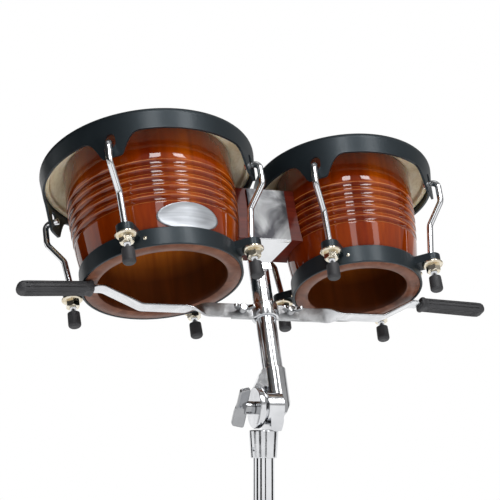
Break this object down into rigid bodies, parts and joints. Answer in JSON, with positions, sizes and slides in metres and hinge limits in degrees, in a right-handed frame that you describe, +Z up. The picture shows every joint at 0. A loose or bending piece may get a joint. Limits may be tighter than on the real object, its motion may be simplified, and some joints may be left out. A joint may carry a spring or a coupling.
{
  "type": "bongo stand",
  "caption": "Chrome bongo stand on a folding tripod: telescopic column, tilter, block bracket and padded arms, with its pair of lacquered wooden drums bolted in.",
  "frame": {"origin": "on the floor, under the middle of the part's bounding box", "axes": "+Z up; +X from the large drum towards the small drum; +Y towards the player, the way the drumheads lean"},
  "size_m": [0.5878, 0.5098, 1.1759],
  "materials": {
    "chrome": "bright chrome plate on steel tube and strap",
    "cast_chrome": "chrome plate on die castings",
    "zinc": "warm zinc and nickel plate on fasteners",
    "black_steel": "black powder coat, soft sheen",
    "rubber": "matt black rubber",
    "lacquered_wood": "red-brown sunburst lacquer, high gloss",
    "block_wood": "dark red lacquer, high gloss",
    "skin": "natural cream skin",
    "badge_plate": "brushed, bare"
  },
  "bodies": {
    "column": {"main_tube": "chrome", "height_clamp": "cast_chrome", "leg_collar": "cast_chrome"},
    "leg_1": {"leg_1": "chrome", "foot_1": "rubber"},
    "brace_1": {"brace_1": "chrome"},
    "leg_2": {"leg_2": "chrome", "foot_2": "rubber"},
    "brace_2": {"brace_2": "chrome"},
    "leg_3": {"leg_3": "chrome", "foot_3": "rubber"},
    "brace_3": {"brace_3": "chrome"},
    "spider": {"spider": "cast_chrome"},
    "height_bolt": {"height_wing_bolt": "cast_chrome"},
    "extension": {"extension_tube": "chrome", "lower_tilter": "cast_chrome", "tilter_bolt": "zinc"},
    "tilter_nut": {"tilter_wing_nut": "cast_chrome"},
    "tilting_head": {"upper_tilter": "cast_chrome", "bracket_post": "chrome", "center_block": "block_wood", "large_shell": "lacquered_wood", "large_head": "skin", "large_rim": "black_steel", "large_ring": "black_steel", "large_rod_1": "chrome", "large_cap_1": "rubber", "large_rod_2": "chrome", "large_cap_2": "rubber", "large_rod_3": "chrome", "large_cap_3": "rubber", "large_rod_4": "chrome", "large_cap_4": "rubber", "small_shell": "lacquered_wood", "small_head": "skin", "small_rim": "black_steel", "small_ring": "black_steel", "small_rod_1": "chrome", "small_cap_1": "rubber", "small_rod_2": "chrome", "small_cap_2": "rubber", "small_rod_3": "chrome", "small_cap_3": "rubber", "small_rod_4": "chrome", "small_cap_4": "rubber"},
    "bracket_nut": {"bracket_wing_nut": "zinc"},
    "arms": {"arm_left": "chrome", "arm_right": "chrome", "arm_grip_left": "rubber", "arm_grip_right": "rubber"},
    "arm_screw_left": {"arm_wing_screw_left": "zinc"},
    "arm_screw_right": {"arm_wing_screw_right": "zinc"},
    "large_nut_1": {"large_nut_1": "zinc"},
    "large_nut_2": {"large_nut_2": "zinc"},
    "large_nut_3": {"large_nut_3": "zinc"},
    "large_nut_4": {"large_nut_4": "zinc"},
    "small_nut_1": {"small_nut_1": "zinc"},
    "small_nut_2": {"small_nut_2": "zinc"},
    "small_nut_3": {"small_nut_3": "zinc"},
    "small_nut_4": {"small_nut_4": "zinc"}
  },
  "joints": [
    {"name": "leg_fold_1", "type": "hinge", "parent": "column", "child": "leg_1", "pos_m": [0, -0.05027, 0.4], "axis": [-1, 0, 0], "range_deg": [0, 28]},
    {"name": "brace_fold_1", "type": "hinge", "parent": "leg_1", "child": "brace_1", "pos_m": [0, 0.04378, 0.27056], "axis": [-1, 0, 0], "range_deg": [-56, 0]},
    {"name": "leg_fold_2", "type": "hinge", "parent": "column", "child": "leg_2", "pos_m": [-0.02598, -0.09527, 0.4], "axis": [0.5, -0.866, 0], "range_deg": [0, 28]},
    {"name": "brace_fold_2", "type": "hinge", "parent": "leg_2", "child": "brace_2", "pos_m": [-0.10743, -0.14229, 0.27056], "axis": [0.5, -0.866, 0], "range_deg": [-56, 0]},
    {"name": "leg_fold_3", "type": "hinge", "parent": "column", "child": "leg_3", "pos_m": [0.02598, -0.09527, 0.4], "axis": [0.5, 0.866, 0], "range_deg": [0, 28]},
    {"name": "brace_fold_3", "type": "hinge", "parent": "leg_3", "child": "brace_3", "pos_m": [0.10743, -0.14229, 0.27056], "axis": [0.5, 0.866, 0], "range_deg": [-56, 0]},
    {"name": "spider_slide", "type": "slide", "parent": "column", "child": "spider", "axis": [0, 0, -1], "range_m": [0, 0.058]},
    {"name": "height_bolt_turn", "type": "hinge", "parent": "column", "child": "height_bolt", "pos_m": [-0.0283, -0.08027, 0.715], "axis": [-1, 0, 0], "range_deg": [0, 360]},
    {"name": "height_slide", "type": "slide", "parent": "column", "child": "extension", "axis": [0, 0, 1], "range_m": [-0.085, 0.16]},
    {"name": "tilter_nut_turn", "type": "hinge", "parent": "extension", "child": "tilter_nut", "pos_m": [-0.0111, -0.08027, 0.868], "axis": [-1, 0, 0], "range_deg": [0, 360]},
    {"name": "tilt", "type": "hinge", "parent": "extension", "child": "tilting_head", "pos_m": [0.0162, -0.08027, 0.868], "axis": [1, 0, 0], "range_deg": [-40, 25]},
    {"name": "bracket_nut_turn", "type": "hinge", "parent": "tilting_head", "child": "bracket_nut", "pos_m": [0.02395, 0.0168, 1.06352], "axis": [0, 0.9356, -0.353], "range_deg": [0, 360]},
    {"name": "arm_slide", "type": "slide", "parent": "tilting_head", "child": "arms", "axis": [0, 0.353, 0.9356], "range_m": [-0.055, 0]},
    {"name": "arm_screw_left_turn", "type": "hinge", "parent": "arms", "child": "arm_screw_left", "pos_m": [-0.0113, -0.04424, 0.97326], "axis": [0, -0.9356, 0.353], "range_deg": [0, 360]},
    {"name": "arm_screw_right_turn", "type": "hinge", "parent": "arms", "child": "arm_screw_right", "pos_m": [0.0437, -0.04424, 0.97326], "axis": [0, -0.9356, 0.353], "range_deg": [0, 360]},
    {"name": "large_nut_1_turn", "type": "hinge", "parent": "tilting_head", "child": "large_nut_1", "pos_m": [-0.01404, -0.08679, 1.0331], "axis": [0.0276, -0.3529, -0.9353], "range_deg": [-180, 180]},
    {"name": "large_nut_2_turn", "type": "hinge", "parent": "tilting_head", "child": "large_nut_2", "pos_m": [-0.03573, 0.04723, 0.9819], "axis": [0.0276, -0.3529, -0.9353], "range_deg": [-180, 180]},
    {"name": "large_nut_3_turn", "type": "hinge", "parent": "tilting_head", "child": "large_nut_3", "pos_m": [-0.17915, 0.02553, 0.98586], "axis": [0.0276, -0.3529, -0.9353], "range_deg": [-180, 180]},
    {"name": "large_nut_4_turn", "type": "hinge", "parent": "tilting_head", "child": "large_nut_4", "pos_m": [-0.15746, -0.10849, 1.03706], "axis": [0.0276, -0.3529, -0.9353], "range_deg": [-180, 180]},
    {"name": "small_nut_1_turn", "type": "hinge", "parent": "tilting_head", "child": "small_nut_1", "pos_m": [0.19576, -0.08503, 1.02804], "axis": [-0.0276, -0.3529, -0.9353], "range_deg": [-180, 180]},
    {"name": "small_nut_2_turn", "type": "hinge", "parent": "tilting_head", "child": "small_nut_2", "pos_m": [0.18642, 0.0313, 0.98442], "axis": [-0.0276, -0.3529, -0.9353], "range_deg": [-180, 180]},
    {"name": "small_nut_3_turn", "type": "hinge", "parent": "tilting_head", "child": "small_nut_3", "pos_m": [0.06223, 0.02377, 0.99093], "axis": [-0.0276, -0.3529, -0.9353], "range_deg": [-180, 180]},
    {"name": "small_nut_4_turn", "type": "hinge", "parent": "tilting_head", "child": "small_nut_4", "pos_m": [0.07157, -0.09256, 1.03454], "axis": [-0.0276, -0.3529, -0.9353], "range_deg": [-180, 180]}
  ],
  "couplings": [
    {"joint": "brace_fold_1", "follows": "leg_fold_1", "ratio": -2},
    {"joint": "leg_fold_2", "follows": "leg_fold_1", "ratio": 1},
    {"joint": "brace_fold_2", "follows": "leg_fold_1", "ratio": -2},
    {"joint": "leg_fold_3", "follows": "leg_fold_1", "ratio": 1},
    {"joint": "brace_fold_3", "follows": "leg_fold_1", "ratio": -2},
    {"joint": "spider_slide", "follows": "leg_fold_1", "m_per_rad": 0.11868}
  ]
}
